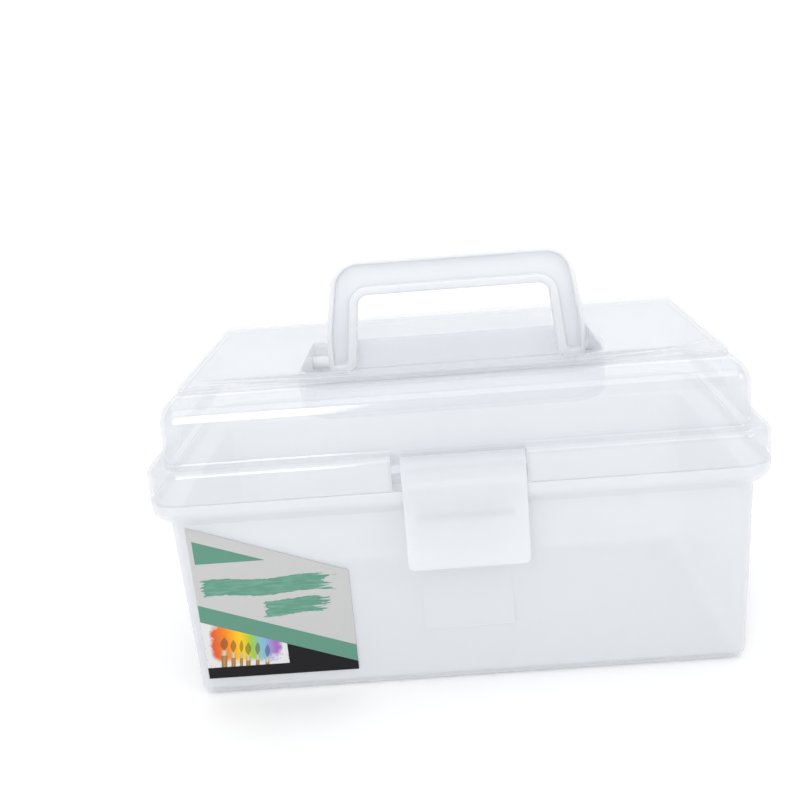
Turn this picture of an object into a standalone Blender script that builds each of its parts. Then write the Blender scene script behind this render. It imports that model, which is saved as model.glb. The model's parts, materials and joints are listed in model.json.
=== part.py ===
"""Clear plastic art supply box: a tub, a hinged lid with a sunk carry handle, a snap latch and a label.

Metres, +Z up. The origin is the centre of the footprint, on the surface the box stands on.
+X is the long side, and -Y is the front, where the latch is.
"""

from math import atan2, cos, pi, radians, sin

import bmesh
import bpy
from mathutils import Matrix, Vector

# Overall sizes
LENGTH = 0.26035
DEPTH = 0.1651
HEIGHT = 0.1397

# Plan outline of the rim, which every other outline is inset from
RIM_DEPTH = 0.1566
RIM_CORNER = 0.0155
SMALLEST_CORNER = 0.0012
CORNER_STEPS = 6
GAP = 0.0003
SLIVER = 0.0001

# Tub
TUB_WALL = 0.0018
FOOT_INSET = 0.0094
FOOT_RADIUS = 0.0055
NECK_INSET = 0.0069
NECK_Z = 0.0832
RIM_TOP_INSET = 0.0001
RIM_RADIUS = 0.0050
RIM_STRAIGHT_Z = 0.0908
RIM_TURN_DEG = 51
RIM_STEPS = 5
SEAM_Z = 0.0940

# Lid
LID_WALL = 0.0016
BEAD_DRAFT = 0.0003
BEAD_RADIUS = 0.0035
BEAD_TOP_Z = 0.1088
DOME_FOOT_INSET = 0.0080
DOME_TOP_INSET = 0.0088
DOME_TOP_Z = 0.1247
SHOULDER_STEPS = 6
PLATE_STEP = 0.0029
PLATE_INSET = 0.0166
PLATE_EXTRA_Y = 0.0024

# Pocket in the lid that the handle folds into
POCKET_HALF_X = 0.0639
POCKET_FRONT_Y = -0.0566
POCKET_BACK_Y = 0.0065
POCKET_FLOOR_Z = 0.1214
POCKET_DRAFT = 0.0002
POCKET_FRONT_CORNER = 0.0150
POCKET_BACK_CORNER = 0.0022

# Carry handle, drawn upright
PIVOT_Z = 0.1312
PIVOT_PIN_RADIUS = 0.0032
PIVOT_PIN_REACH = 0.0084
HANDLE_SIDE_PLAY = 0.0030
HANDLE_THICKNESS = 0.0075
HANDLE_TOP_Z = 0.1783
GRIP_HEIGHT = 0.0163
ARM_END_DROP = 0.0044
ARM_FOOT_OUTER = 0.0596
ARM_FOOT_INNER = 0.0469
ARM_OUTER_LEAN = 0.157
ARM_INNER_LEAN = 0.112
ARM_BEND_Z = 0.1410
HANDLE_OUTER_RADIUS = 0.0135
HANDLE_INNER_RADIUS = 0.0055
ARM_END_INNER_RADIUS = 0.0045
ARM_END_OUTER_RADIUS = 0.0012
HANDLE_BEVEL = 0.0010
CHANNEL_DEPTH = 0.0030
CHANNEL_OUTER_RIM = 0.0022
CHANNEL_INNER_RIM = 0.0038
CHANNEL_END_RIM = 0.0030
CHANNEL_END_RADIUS = 0.0015

# Latch: a clip that swings on a bar moulded across a notch in the lid's bead
NOTCH_HALF_X = 0.0276
CHEEK_THICKNESS = 0.0013
BAR_Y = -0.0761
BAR_Z = 0.1032
BAR_RADIUS = 0.0021
CLIP_INNER_RADIUS = 0.0024
CLIP_OUTER_RADIUS = 0.0048
CLIP_MOUTH_DEG = -50
LATCH_HALF_X = 0.0253
LATCH_CORNER = 0.0035
LATCH_SIDE_PLAY = 0.0017
LATCH_BACK_Y = -0.0790
LATCH_TIP_Z = 0.0600
LATCH_LIP_Z = 0.0750
LATCH_TIP_THICKNESS = 0.0017
LATCH_TIP_BEVEL = 0.0005
HOOK_INNER_Y = -0.0753
HOOK_TOP_Z = 0.0833
HOOK_HEIGHT = 0.0030
HOOK_HALF_X = 0.0200
HOOK_ROOT = 0.0006
CATCH_Y = -0.0776
CATCH_Z = 0.0836
CATCH_HALF_X = 0.0180

# Raised wedge on the tub's front, under the latch
WEDGE_TOP_Z = 0.0560
WEDGE_FOOT_Z = 0.0270
WEDGE_TOP_HALF_X = 0.0190
WEDGE_FOOT_HALF_X = 0.0200
WEDGE_PROUD = 0.0016
WEDGE_ROOT = 0.0009

# Hinges at the back: two knuckles on the tub, one on the lid, and a pin, twice
HINGE_Y = 0.0789
HINGE_Z = 0.09415
HINGE_X = 0.0680
KNUCKLE_RADIUS = 0.0029
LID_KNUCKLE_HALF_X = 0.0057
TUB_KNUCKLE_INNER_X = 0.0062
TUB_KNUCKLE_OUTER_X = 0.0130
KNUCKLE_CLEARANCE = 0.0004
TUB_GUSSET_Z = 0.0898
LID_GUSSET_Z = 0.1003
PIN_RADIUS = 0.0013
PIN_HALF_LENGTH = 0.0127
HEEL_START_DEG = 62
HEEL_END_DEG = 85.8

# Label on the front wall, left of the latch
LABEL_LEFT_X = -0.1160
LABEL_RIGHT_X = -0.0500
LABEL_FOOT = 0.0094
LABEL_LEFT_TOP = 0.0822
LABEL_RIGHT_TOP = 0.0577
LABEL_THICKNESS = 0.0003

# Finishes: colour, roughness, alpha
TUB_FINISH = ((0.87, 0.89, 0.91), 0.32, 0.45)
LID_FINISH = ((0.92, 0.94, 0.96), 0.10, 0.30)
HANDLE_FINISH = ((0.90, 0.92, 0.94), 0.30, 0.65)
LATCH_FINISH = ((0.90, 0.92, 0.94), 0.28, 0.60)
PIN_FINISH = ((0.88, 0.90, 0.92), 0.30, 0.70)
LABEL_FINISH = ((0.82, 0.86, 0.85), 0.45, 1.0)

HALF_X = LENGTH / 2
HALF_Y = RIM_DEPTH / 2
SHARP_ANGLE = radians(35)
ROUND_SIDES = 24


# ---------------------------------------------------------------- meshes


def clear_scene():
    for obj in list(bpy.data.objects):
        bpy.data.objects.remove(obj, do_unlink=True)


def make_object(name, bm):
    """Turn a bmesh into an object, with its faces pointing out and round shapes shaded smooth."""
    bmesh.ops.recalc_face_normals(bm, faces=bm.faces)
    mesh = bpy.data.meshes.new(name)
    bm.to_mesh(mesh)
    bm.free()
    mesh.shade_smooth()
    mesh.set_sharp_from_angle(angle=SHARP_ANGLE)
    obj = bpy.data.objects.new(name, mesh)
    bpy.context.scene.collection.objects.link(obj)
    return obj


def bridge(bm, lower, upper):
    count = len(lower)
    for i in range(count):
        j = (i + 1) % count
        bm.faces.new((lower[i], lower[j], upper[j], upper[i]))


def loft(name, loops):
    """A closed solid through loops of points, capped at both ends."""
    bm = bmesh.new()
    rings = [[bm.verts.new(point) for point in loop] for loop in loops]
    for lower, upper in zip(rings, rings[1:]):
        bridge(bm, lower, upper)
    bm.faces.new(rings[0])
    bm.faces.new(rings[-1])
    return make_object(name, bm)


def prism_x(name, outline, x_from, x_to):
    """Extrude an outline of (y, z) points along X."""
    return loft(name, [[Vector((x, y, z)) for y, z in outline] for x in (x_from, x_to)])


def prism_y(name, outline, y_from, y_to):
    """Extrude an outline of (x, z) points along Y."""
    return loft(name, [[Vector((x, y, z)) for x, z in outline] for y in (y_from, y_to)])


def arc(centre, radius, start_deg, end_deg, steps):
    """Points on a circle, angles counter-clockwise from the first axis."""
    angles = [radians(start_deg + (end_deg - start_deg) * i / steps) for i in range(steps + 1)]
    return [(centre[0] + radius * cos(a), centre[1] + radius * sin(a)) for a in angles]


def rod_x(name, radius, x_from, x_to, y, z):
    circle = arc((y, z), radius, 0, 360, ROUND_SIDES)[:-1]
    return prism_x(name, circle, x_from, x_to)


def box(name, low, high):
    outline = [(low[1], low[2]), (high[1], low[2]), (high[1], high[2]), (low[1], high[2])]
    return prism_x(name, outline, low[0], high[0])


def combine(target, tool, operation):
    """Join a tool shape to the target, or cut it away, and hide the tool."""
    modifier = target.modifiers.new(operation.lower() + "_" + tool.name, "BOOLEAN")
    modifier.operation = operation
    modifier.object = tool
    modifier.solver = "EXACT"
    tool.hide_render = True
    tool.display_type = "WIRE"


def move_origin(obj, point, parent=None):
    """Put an object's origin at a point on its joint's axis, under its parent."""
    shift = Vector(point)
    obj.data.transform(Matrix.Translation(-shift))
    obj.location = shift
    if parent:
        obj.parent = parent
        obj.location = shift - parent.location


def give_material(obj, colour, roughness, alpha):
    material = bpy.data.materials.new(obj.name)
    material.use_nodes = True
    shader = material.node_tree.nodes["Principled BSDF"]
    shader.inputs["Base Color"].default_value = (*colour, 1)
    shader.inputs["Roughness"].default_value = roughness
    shader.inputs["Metallic"].default_value = 0
    shader.inputs["Alpha"].default_value = alpha
    obj.data.materials.append(material)


# ---------------------------------------------------------------- outlines


def rim_outline(inset, z, extra_y=0.0):
    """A rounded rectangle inset from the rim, counter-clockwise seen from above."""
    half_x = HALF_X - inset
    half_y = HALF_Y - inset - extra_y
    radius = max(RIM_CORNER - inset, SMALLEST_CORNER)
    points = []
    for quarter, (side_x, side_y) in enumerate(((1, 1), (-1, 1), (-1, -1), (1, -1))):
        centre = (side_x * (half_x - radius), side_y * (half_y - radius))
        for x, y in arc(centre, radius, 90 * quarter, 90 * quarter + 90, CORNER_STEPS):
            points.append(Vector((x, y, z)))
    return points


def inner_profile(profile, wall, opens_up):
    """Move a wall's profile inwards by its thickness, mitred at each point and at the closed end."""
    ways = [Vector((b[0] - a[0], b[1] - a[1])).normalized() for a, b in zip(profile, profile[1:])]
    first = Vector((-1, 0)) if opens_up else ways[0]
    last = ways[-1] if opens_up else Vector((1, 0))
    ways = [first, *ways, last]
    moved = []
    for (inset, z, extra_y), way_in, way_out in zip(profile, ways, ways[1:]):
        across = Vector((way_in.y + way_out.y, -way_in.x - way_out.x))
        step = across * 2 * wall / across.length_squared
        moved.append((inset + step.x, z + step.y, extra_y))
    return moved


def shell(name, profile, wall, opens_up):
    """A thin-walled vessel, from the (inset, z, extra_y) points of its outside, lowest first."""
    inside = inner_profile(profile, wall, opens_up)
    path = profile + inside[::-1] if opens_up else profile[::-1] + inside
    return loft(name, [rim_outline(*point) for point in path])


def wall_inset(z):
    return FOOT_INSET + (NECK_INSET - FOOT_INSET) * z / NECK_Z


def rim_curve():
    """The rounded corner, as (inset, z) points going up, where the rim's underside turns upright."""
    centre = (RIM_TOP_INSET + RIM_RADIUS, RIM_STRAIGHT_Z)
    return arc(centre, RIM_RADIUS, 180 + RIM_TURN_DEG, 180, RIM_STEPS)


def tub_profile():
    """The tub's outside: rounded foot, drafted wall, and a rim that slopes out to the seam."""
    foot = wall_inset(FOOT_RADIUS)
    points = arc((foot + FOOT_RADIUS, FOOT_RADIUS), FOOT_RADIUS, 270, 180, 3)
    points.append((NECK_INSET, NECK_Z))
    points += rim_curve()
    points.append((RIM_TOP_INSET, SEAM_Z))
    return [(inset, z, 0.0) for inset, z in points]


def lid_profile():
    """The lid's outside from the seam up: bead, dome wall, rounded shoulder and raised top plate.

    The shoulder is an arc that starts upright. Going up it, the front and back draw in a little more
    than the ends do.
    """
    points = [(0.0, SEAM_Z + GAP, 0.0)]
    bead_centre = (BEAD_DRAFT + BEAD_RADIUS, BEAD_TOP_Z - BEAD_RADIUS)
    points += [(inset, z, 0.0) for inset, z in arc(bead_centre, BEAD_RADIUS, 180, 90, 5)]
    points.append((DOME_FOOT_INSET, BEAD_TOP_Z, 0.0))
    width = PLATE_INSET - DOME_TOP_INSET
    height = HEIGHT - PLATE_STEP - DOME_TOP_Z
    turn = 2 * atan2(width, height)
    radius = height / sin(turn)
    for step in range(SHOULDER_STEPS + 1):
        angle = turn * step / SHOULDER_STEPS
        drawn_in = radius * (1 - cos(angle))
        z = DOME_TOP_Z + radius * sin(angle)
        points.append((DOME_TOP_INSET + drawn_in, z, PLATE_EXTRA_Y * drawn_in / width))
    points.append((PLATE_INSET, HEIGHT, PLATE_EXTRA_Y))
    return points


def pocket_outline(grow, z):
    """The handle pocket's outline, narrower towards its floor, grown by a wall's thickness."""
    depth = (HEIGHT - z) / (HEIGHT - POCKET_FLOOR_Z)
    grow = grow - POCKET_DRAFT * depth
    half_x = POCKET_HALF_X + grow
    front = POCKET_FRONT_Y - grow
    back = POCKET_BACK_Y + grow
    back_radius = POCKET_BACK_CORNER + grow
    front_radius = POCKET_FRONT_CORNER + grow
    points = arc((half_x - back_radius, back - back_radius), back_radius, 0, 90, 3)
    points += arc((-half_x + back_radius, back - back_radius), back_radius, 90, 180, 3)
    points += arc((-half_x + front_radius, front + front_radius), front_radius, 180, 270, 6)
    points += arc((half_x - front_radius, front + front_radius), front_radius, 270, 360, 6)
    return [Vector((x, y, z)) for x, y in points]


def bow_edge(foot_x, foot_z, bend_z, lean, top_z, radius, foot_radius, steps):
    """Right half of one edge of the bow-shaped handle, from its arm's end up to the centre line.

    The edge goes straight up to bend_z, leans inwards above it, and turns into the grip.
    """
    tilt = atan2(lean, 1)
    corner_z = top_z - radius
    arm_x = foot_x - lean * (corner_z - bend_z)
    centre = (arm_x - radius / cos(tilt), corner_z)
    points = [(foot_x, bend_z)]
    if foot_radius:
        foot_centre = (foot_x - foot_radius, foot_z + foot_radius)
        points = arc(foot_centre, foot_radius, 270, 360, 3) + points
    points += arc(centre, radius, tilt * 180 / pi, 90, steps)
    return points


# ---------------------------------------------------------------- tub


def build_tub():
    tub = shell("base_tub", tub_profile(), TUB_WALL, opens_up=True)
    add_latch_catch(tub)
    add_front_wedge(tub)
    for side in (-1, 1):
        add_tub_knuckles(tub, side * HINGE_X)
    give_material(tub, *TUB_FINISH)
    return tub


def add_latch_catch(tub):
    """A ledge under the rim that the latch's hook snaps below."""
    outline = [(inset + TUB_WALL / 2 - HALF_Y, z) for inset, z in rim_curve()]
    outline += [(CATCH_Y, RIM_STRAIGHT_Z), (CATCH_Y, CATCH_Z)]
    combine(tub, prism_x("latch_catch", outline, -CATCH_HALF_X, CATCH_HALF_X), "UNION")


def add_front_wedge(tub):
    """A low wedge, flush with the wall at its top and proud of it at its foot."""
    foot_y = -(HALF_Y - wall_inset(WEDGE_FOOT_Z))
    top_y = -(HALF_Y - wall_inset(WEDGE_TOP_Z))
    loops = []
    for proud_top, proud_foot in ((-WEDGE_ROOT, -WEDGE_ROOT), (0.0, WEDGE_PROUD)):
        loops.append(
            [
                Vector((-WEDGE_FOOT_HALF_X, foot_y - proud_foot, WEDGE_FOOT_Z)),
                Vector((WEDGE_FOOT_HALF_X, foot_y - proud_foot, WEDGE_FOOT_Z)),
                Vector((WEDGE_TOP_HALF_X, top_y - proud_top, WEDGE_TOP_Z)),
                Vector((-WEDGE_TOP_HALF_X, top_y - proud_top, WEDGE_TOP_Z)),
            ]
        )
    combine(tub, loft("front_wedge", loops), "UNION")


def add_tub_knuckles(tub, x):
    """Two barrels on gussets at the rim's back, with the rim cut back for the lid's knuckle."""
    rim_inner_y = HALF_Y - TUB_WALL + 2 * SLIVER
    barrel = arc((HINGE_Y, HINGE_Z), KNUCKLE_RADIUS, -40, 140, 12)
    outline = [(max(y, rim_inner_y), z) for y, z in barrel]
    outline.append((rim_inner_y, TUB_GUSSET_Z))
    for side in (-1, 1):
        edges = sorted((x + side * TUB_KNUCKLE_INNER_X, x + side * TUB_KNUCKLE_OUTER_X))
        combine(tub, prism_x("tub_knuckle", outline, *edges), "UNION")
    reach = LID_KNUCKLE_HALF_X + KNUCKLE_CLEARANCE
    relief = rod_x("rim_relief", KNUCKLE_RADIUS + KNUCKLE_CLEARANCE, x - reach, x + reach, HINGE_Y, HINGE_Z)
    combine(tub, relief, "DIFFERENCE")
    combine(tub, pin_bore(x), "DIFFERENCE")


def pin_bore(x):
    reach = TUB_KNUCKLE_OUTER_X + GAP
    return rod_x("pin_bore", PIN_RADIUS + GAP, x - reach, x + reach, HINGE_Y, HINGE_Z)


# ---------------------------------------------------------------- lid


def build_lid():
    lid = shell("lid", lid_profile(), LID_WALL, opens_up=False)
    add_pocket(lid)
    add_latch_notch(lid)
    for side in (-1, 1):
        add_lid_knuckle(lid, side * HINGE_X)
    give_material(lid, *LID_FINISH)
    move_origin(lid, (0, HINGE_Y, HINGE_Z))
    return lid


def add_pocket(lid):
    """The sunk tray that the handle lies in, with a hole in each end for the handle's pins."""
    tray_top = HEIGHT - LID_WALL / 2
    tray = [pocket_outline(LID_WALL, z) for z in (POCKET_FLOOR_Z - LID_WALL, tray_top)]
    hollow = [pocket_outline(0.0, z) for z in (POCKET_FLOOR_Z, HEIGHT + LID_WALL)]
    combine(lid, loft("pocket_tray", tray), "UNION")
    combine(lid, loft("pocket_hollow", hollow), "DIFFERENCE")
    for side in (-1, 1):
        ends = sorted((side * (POCKET_HALF_X - 3 * LID_WALL), side * (POCKET_HALF_X + 3 * LID_WALL)))
        hole = rod_x("pivot_hole", PIVOT_PIN_RADIUS + GAP, *ends, 0.0, PIVOT_Z)
        combine(lid, hole, "DIFFERENCE")


def add_latch_notch(lid):
    """A gap in the bead, closed by a cheek at each end and a web behind, with the latch's bar."""
    dome_y = -(HALF_Y - DOME_FOOT_INSET)
    cut_low = (-NOTCH_HALF_X, -HALF_Y - BEAD_RADIUS, SEAM_Z - BEAD_RADIUS)
    cut_high = (NOTCH_HALF_X, dome_y - SLIVER, BEAD_TOP_Z + LID_WALL)
    combine(lid, box("bead_notch", cut_low, cut_high), "DIFFERENCE")

    skin = LID_WALL / 3
    bead_y = -HALF_Y + skin
    bead_arc_centre = (-HALF_Y + BEAD_RADIUS, BEAD_TOP_Z - BEAD_RADIUS)
    cheek = arc(bead_arc_centre, BEAD_RADIUS - skin, 90, 180, 5)
    low_z = SEAM_Z + 2 * GAP
    cheek += [(bead_y, low_z), (dome_y + skin, low_z), (dome_y + skin, BEAD_TOP_Z - skin)]
    for side in (-1, 1):
        faces = sorted((side * NOTCH_HALF_X, side * (NOTCH_HALF_X + CHEEK_THICKNESS)))
        combine(lid, prism_x("notch_cheek", cheek, *faces), "UNION")

    web_half_x = NOTCH_HALF_X + CHEEK_THICKNESS / 2
    web_low = (-web_half_x, dome_y + SLIVER, low_z + SLIVER)
    web_high = (web_half_x, dome_y + LID_WALL - SLIVER, BEAD_TOP_Z + LID_WALL)
    combine(lid, box("notch_web", web_low, web_high), "UNION")
    bar_half_x = NOTCH_HALF_X + CHEEK_THICKNESS / 3
    combine(lid, rod_x("latch_bar", BAR_RADIUS, -bar_half_x, bar_half_x, BAR_Y, BAR_Z), "UNION")


def add_lid_knuckle(lid, x):
    """One barrel on the bead's back, with a heel that meets the rim when the lid is fully open."""
    for side in (-1, 1):
        low = TUB_KNUCKLE_INNER_X - KNUCKLE_CLEARANCE
        high = TUB_KNUCKLE_OUTER_X + KNUCKLE_CLEARANCE
        edges = sorted((x + side * low, x + side * high))
        relief = rod_x("bead_relief", KNUCKLE_RADIUS + KNUCKLE_CLEARANCE, *edges, HINGE_Y, HINGE_Z)
        combine(lid, relief, "DIFFERENCE")
    bead_inner_y = HALF_Y - LID_WALL + 2 * SLIVER
    heel_radius = DEPTH / 2 - HINGE_Y
    centre = (HINGE_Y, HINGE_Z)
    barrel = arc(centre, KNUCKLE_RADIUS, -140, 90 - HEEL_END_DEG, 8)
    heel = arc(centre, heel_radius, 90 - HEEL_END_DEG, 90 - HEEL_START_DEG, 2)
    crown = arc(centre, KNUCKLE_RADIUS, 90 - HEEL_START_DEG, 55, 2)
    outline = [(max(y, bead_inner_y), z) for y, z in barrel + heel + crown]
    outline.append((bead_inner_y, LID_GUSSET_Z))
    knuckle = prism_x("lid_knuckle", outline, x - LID_KNUCKLE_HALF_X, x + LID_KNUCKLE_HALF_X)
    combine(lid, knuckle, "UNION")
    combine(lid, pin_bore(x), "DIFFERENCE")


# ---------------------------------------------------------------- handle, latch, pins, label


def bow_outline(outer_rim, inner_rim, end_rim):
    """The handle's front view, or with rims set, the outline of the channel sunk into it.

    The handle has slid to the right in its pivots, by their side play.
    """
    foot_z = PIVOT_Z - ARM_END_DROP + end_rim
    grip_low_z = HANDLE_TOP_Z - GRIP_HEIGHT
    outer = bow_edge(
        ARM_FOOT_OUTER - outer_rim,
        foot_z,
        ARM_BEND_Z,
        ARM_OUTER_LEAN,
        HANDLE_TOP_Z - outer_rim,
        HANDLE_OUTER_RADIUS - outer_rim,
        ARM_END_OUTER_RADIUS,
        8,
    )
    inner = bow_edge(
        ARM_FOOT_INNER + inner_rim,
        foot_z,
        PIVOT_Z,
        ARM_INNER_LEAN,
        grip_low_z + inner_rim,
        HANDLE_INNER_RADIUS + inner_rim,
        0,
        5,
    )
    end_radius = max(ARM_END_INNER_RADIUS - end_rim, CHANNEL_END_RADIUS)
    corner_x = ARM_FOOT_INNER + inner_rim + end_radius
    inner_end = arc((corner_x, foot_z + end_radius), end_radius, 180, 270, 4)
    right = list(reversed(inner)) + inner_end + outer
    left = [(-x, z) for x, z in reversed(right)]
    return [(x + HANDLE_SIDE_PLAY, z) for x, z in right + left]


def build_handle(lid):
    half = HANDLE_THICKNESS / 2
    handle = prism_y("carry_handle", bow_outline(0, 0, 0), -half, half)
    bevel = handle.modifiers.new("soft_edges", "BEVEL")
    bevel.width = HANDLE_BEVEL
    bevel.segments = 2
    bevel.limit_method = "ANGLE"
    bevel.angle_limit = radians(50)

    channel_outline = bow_outline(CHANNEL_OUTER_RIM, CHANNEL_INNER_RIM, CHANNEL_END_RIM)
    channel = prism_y("channel", channel_outline, -HANDLE_THICKNESS, CHANNEL_DEPTH - half)
    combine(handle, channel, "DIFFERENCE")
    root_x = (ARM_FOOT_OUTER + ARM_FOOT_INNER) / 2
    for side in (-1, 1):
        ends = sorted(side * x + HANDLE_SIDE_PLAY for x in (root_x, ARM_FOOT_OUTER + PIVOT_PIN_REACH))
        combine(handle, rod_x("pivot_pin", PIVOT_PIN_RADIUS, *ends, 0.0, PIVOT_Z), "UNION")
    give_material(handle, *HANDLE_FINISH)
    move_origin(handle, (0, 0, PIVOT_Z), lid)
    return handle


def latch_front():
    """The latch's front view: a plain rectangle with its lower corners rounded.

    The latch has slid to the right on its bar, by its side play.
    """
    side = LATCH_HALF_X - LATCH_CORNER
    low = LATCH_TIP_Z - SLIVER + LATCH_CORNER
    top = BAR_Z + 2 * CLIP_OUTER_RADIUS
    outline = [(LATCH_HALF_X, top), (-LATCH_HALF_X, top)]
    outline += arc((-side, low), LATCH_CORNER, 180, 270, 4) + arc((side, low), LATCH_CORNER, 270, 360, 4)
    return [(x + LATCH_SIDE_PLAY, z) for x, z in outline]


def build_latch(lid):
    """A clip round the bar, a flat tongue in front of the rim, and a lip to pull at its tip."""
    centre = (BAR_Y, BAR_Z)
    front_y = BAR_Y - CLIP_OUTER_RADIUS
    lip_y = -DEPTH / 2
    outline = arc(centre, CLIP_OUTER_RADIUS, CLIP_MOUTH_DEG, 180, 12)
    outline += [(front_y, SEAM_Z), (front_y, LATCH_LIP_Z), (lip_y, LATCH_TIP_Z + 2 * LATCH_TIP_BEVEL)]
    outline += [(lip_y + LATCH_TIP_BEVEL, LATCH_TIP_Z), (lip_y + LATCH_TIP_THICKNESS, LATCH_TIP_Z)]
    outline += [(LATCH_BACK_Y, LATCH_LIP_Z), (LATCH_BACK_Y, SEAM_Z)]
    outline += arc(centre, CLIP_INNER_RADIUS, 195, CLIP_MOUTH_DEG, 10)
    latch = prism_x("front_latch", outline, -2 * LATCH_HALF_X, 2 * LATCH_HALF_X)
    combine(latch, prism_y("latch_front", latch_front(), -DEPTH, 0), "INTERSECT")
    hook_root_y = LATCH_BACK_Y - HOOK_ROOT
    hook_outline = [(hook_root_y, HOOK_TOP_Z), (HOOK_INNER_Y, HOOK_TOP_Z)]
    hook_outline += [(HOOK_INNER_Y, HOOK_TOP_Z - HOOK_HEIGHT / 3), (hook_root_y, HOOK_TOP_Z - HOOK_HEIGHT)]
    hook_ends = [side * HOOK_HALF_X + LATCH_SIDE_PLAY for side in (-1, 1)]
    combine(latch, prism_x("latch_hook", hook_outline, *hook_ends), "UNION")
    give_material(latch, *LATCH_FINISH)
    move_origin(latch, (0, BAR_Y, BAR_Z), lid)
    return latch


def build_hinge_pin(name, x):
    pin = rod_x(name, PIN_RADIUS, x - PIN_HALF_LENGTH, x + PIN_HALF_LENGTH, HINGE_Y, HINGE_Z)
    give_material(pin, *PIN_FINISH)
    move_origin(pin, (x, HINGE_Y, HINGE_Z))
    return pin


def build_label(tub):
    """A thin sheet that lies on the front wall and shares its draft angle."""
    outline = [(LABEL_LEFT_X, LABEL_FOOT), (LABEL_RIGHT_X, LABEL_FOOT)]
    outline += [(LABEL_RIGHT_X, LABEL_RIGHT_TOP), (LABEL_LEFT_X, LABEL_LEFT_TOP)]
    label = prism_y("front_label", outline, -LABEL_THICKNESS, 0)
    label.rotation_euler.x = atan2(FOOT_INSET - NECK_INSET, NECK_Z)
    label.location.y = -(HALF_Y - FOOT_INSET) - GAP
    label.parent = tub
    give_material(label, *LABEL_FINISH)
    return label


def main():
    clear_scene()
    tub = build_tub()
    lid = build_lid()
    build_handle(lid)
    build_latch(lid)
    build_hinge_pin("hinge_pin_left", -HINGE_X)
    build_hinge_pin("hinge_pin_right", HINGE_X)
    build_label(tub)


main()
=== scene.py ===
"""Looks of the clear plastic art supply box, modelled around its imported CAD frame.

Metres, +Z up, -Y is the front. Walls are closed shells lofted through rounded rectangles, so
that every moulded edge has its own radius, and the plastics are thin, milky and glossy.
"""

import json
from math import asin, atan2, ceil, cos, degrees, pi, radians, sin, tan

import bmesh
import bpy
from mathutils import Matrix, Vector


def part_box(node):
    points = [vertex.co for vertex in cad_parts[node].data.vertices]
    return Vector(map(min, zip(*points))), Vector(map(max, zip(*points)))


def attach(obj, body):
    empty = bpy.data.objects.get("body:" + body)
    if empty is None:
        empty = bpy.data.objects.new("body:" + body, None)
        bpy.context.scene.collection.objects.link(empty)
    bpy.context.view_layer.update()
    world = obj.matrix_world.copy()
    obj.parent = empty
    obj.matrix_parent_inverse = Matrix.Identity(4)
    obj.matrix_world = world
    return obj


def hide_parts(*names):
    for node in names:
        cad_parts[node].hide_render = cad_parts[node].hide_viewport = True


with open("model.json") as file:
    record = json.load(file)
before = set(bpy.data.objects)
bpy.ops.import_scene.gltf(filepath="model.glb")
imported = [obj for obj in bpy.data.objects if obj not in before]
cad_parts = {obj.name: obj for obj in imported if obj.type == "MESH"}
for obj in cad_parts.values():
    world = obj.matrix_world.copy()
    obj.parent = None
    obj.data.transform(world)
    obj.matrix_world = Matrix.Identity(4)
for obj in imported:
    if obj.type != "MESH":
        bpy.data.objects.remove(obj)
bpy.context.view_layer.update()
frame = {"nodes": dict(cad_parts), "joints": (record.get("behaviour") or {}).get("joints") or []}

# Places from the frame
JOINT_AT = {joint["name"]: Vector(joint["pos_m"]) for joint in frame["joints"]}
HINGE = JOINT_AT["lid_hinge"]
PIVOT = JOINT_AT["handle_fold"]
BAR = JOINT_AT["latch_flip"]
LID_LOW, LID_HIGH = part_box("lid")
HANDLE_LOW, HANDLE_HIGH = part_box("carry_handle")
LATCH_LOW, LATCH_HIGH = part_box("front_latch")
LABEL_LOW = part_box("front_label")[0]
HALF_X = LID_HIGH.x
HALF_Y = -LID_LOW.y
TOP_Z = LID_HIGH.z
SEAM_Z = HINGE.z

# Walls. An inset is measured inwards from the lid's outline, seen from above.
RIM_CORNER = 0.0155
SMALLEST_CORNER = 0.0012
CORNER_STEPS = 14
ARC_DEGREES = 9
GAP = 0.00015
TUB_WALL = 0.0018
LID_WALL = 0.0016
FOOT_INSET = 0.0094
DOME_TOP_INSET = 0.0088
DOME_TOP_Z = 0.1247
PLATE_INSET = 0.0166
PLATE_EXTRA_Y = 0.0024
PLATE_FOOT_Z = 0.1368
SHOULDER_TURN = 2 * atan2(PLATE_INSET - DOME_TOP_INSET, PLATE_FOOT_Z - DOME_TOP_Z)
SHOULDER_RADIUS = (PLATE_FOOT_Z - DOME_TOP_Z) / sin(SHOULDER_TURN)
NECK_INSET = 0.0069
NECK_Z = 0.0832
CAP_INSET = 0.0240
SLIVER = 0.0001

# Handle pocket
POCKET_HALF_X = 0.0639
POCKET_FRONT_Y = -0.0566
POCKET_BACK_Y = 0.0065
POCKET_FLOOR_Z = 0.1214
POCKET_DRAFT = 0.0002
POCKET_FRONT_CORNER = 0.0150
POCKET_BACK_CORNER = 0.0022
PIVOT_RADIUS = 0.0032

# Latch
NOTCH_HALF_X = 0.0276
CHEEK_THICKNESS = 0.0013
BEAD_TOP_Z = 0.1088
BEAD_RADIUS = 0.0035
DOME_FOOT_INSET = 0.0080
BAR_RADIUS = 0.0021
CLIP_INNER_RADIUS = 0.0024
CLIP_OUTER_RADIUS = 0.0048
CLIP_MOUTH_DEG = -50
LATCH_CORNER = 0.0035
LATCH_BACK_Y = -0.0790

# Hinges
HINGE_X = 0.0680
KNUCKLE_RADIUS = 0.0029
LID_KNUCKLE_HALF_X = 0.0057
TUB_KNUCKLE_X = (0.0062, 0.0130)
TUB_GUSSET_Z = 0.0898
LID_GUSSET_Z = 0.1003
HEEL_DEG = (4.2, 28)
KNUCKLE_CLEARANCE = 0.0004
PIN_RADIUS = 0.0013
PIN_CHAMFER = 0.0002

SHARP_ANGLE = radians(38)
BEVEL_ANGLE = radians(60)
ROUND_SIDES = 40


# ---------------------------------------------------------------- meshes


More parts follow.
